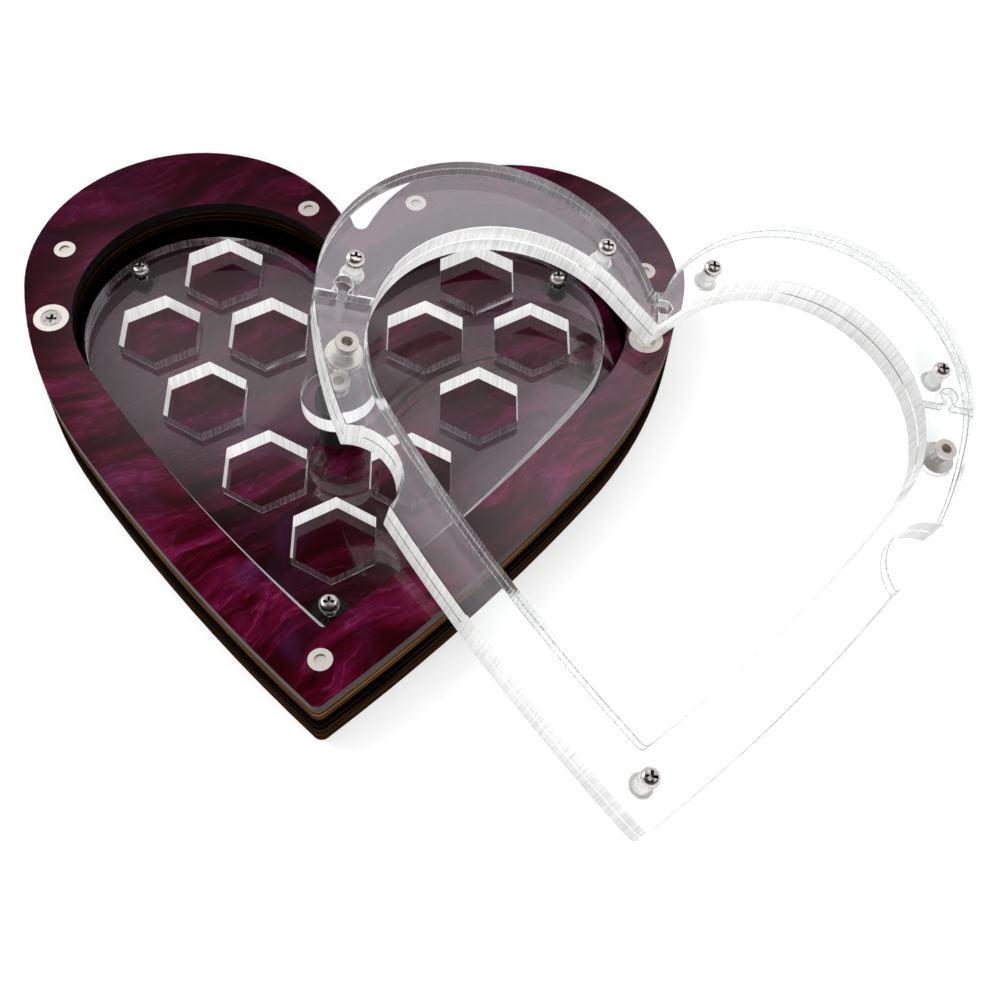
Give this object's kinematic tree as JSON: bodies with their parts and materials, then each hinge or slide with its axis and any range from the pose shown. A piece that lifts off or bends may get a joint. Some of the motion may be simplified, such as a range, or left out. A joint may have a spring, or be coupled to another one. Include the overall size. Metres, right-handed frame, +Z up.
{
  "type": "dice tray",
  "caption": "Heart-shaped laminated dice tray with a pearl acrylic rim, a lift-out clear plate of hexagonal dice pockets and a loose clear ring that closes on the rim with magnets.",
  "frame": {"origin": "on the case's flat underside, midway between the centres of its two lobes", "axes": "+Z up, out of the case's underside towards the rim; +Y from the heart's point towards its lobes; +X to the side on which the loose ring leans"},
  "size_m": [0.2772, 0.2151, 0.0505],
  "materials": {
    "plywood": "laser-charred plywood edges",
    "pearl_acrylic": "marbled pearl, polished",
    "clear_acrylic": "clear, polished",
    "black_plastic": "satin black",
    "nickel_nut": "nickel-plated",
    "zinc_screw": "zinc-plated",
    "nickel_magnet": "nickel-plated"
  },
  "bodies": {
    "case": {"bottom_board": "plywood", "frame_ply_1": "plywood", "frame_ply_2": "plywood", "frame_ply_3": "plywood", "frame_ply_4": "plywood", "frame_ply_5": "plywood", "rim_plate": "pearl_acrylic", "floor_panel": "pearl_acrylic", "rim_nuts": "nickel_nut", "case_screws": "zinc_screw", "rim_magnets": "nickel_magnet", "rim_magnet_screws": "zinc_screw", "floor_magnets": "nickel_magnet"},
    "pocket_insert": {"insert_plate": "clear_acrylic", "insert_screws": "zinc_screw", "knob_post": "black_plastic", "knob_disc": "clear_acrylic", "knob_nut": "nickel_nut", "knob_screw": "zinc_screw"},
    "ring": {"ring_lower_layer": "clear_acrylic", "ring_upper_left": "clear_acrylic", "ring_upper_right": "clear_acrylic", "ring_upper_point": "clear_acrylic", "ring_nuts": "nickel_nut", "ring_screws": "zinc_screw", "ring_magnets": "nickel_magnet", "ring_magnet_screws": "zinc_screw", "ring_magnet_nuts": "nickel_nut"}
  },
  "joints": [
    {"name": "ring_lift", "type": "slide", "parent": "case", "child": "ring", "axis": [0, 0, 1], "range_m": [0, 0.06]},
    {"name": "insert_lift", "type": "slide", "parent": "case", "child": "pocket_insert", "axis": [0, 0, 1], "range_m": [0, 0.03]}
  ],
  "couplings": [
    {"joint": "insert_lift", "follows": "ring_lift", "ratio": 0.5}
  ]
}
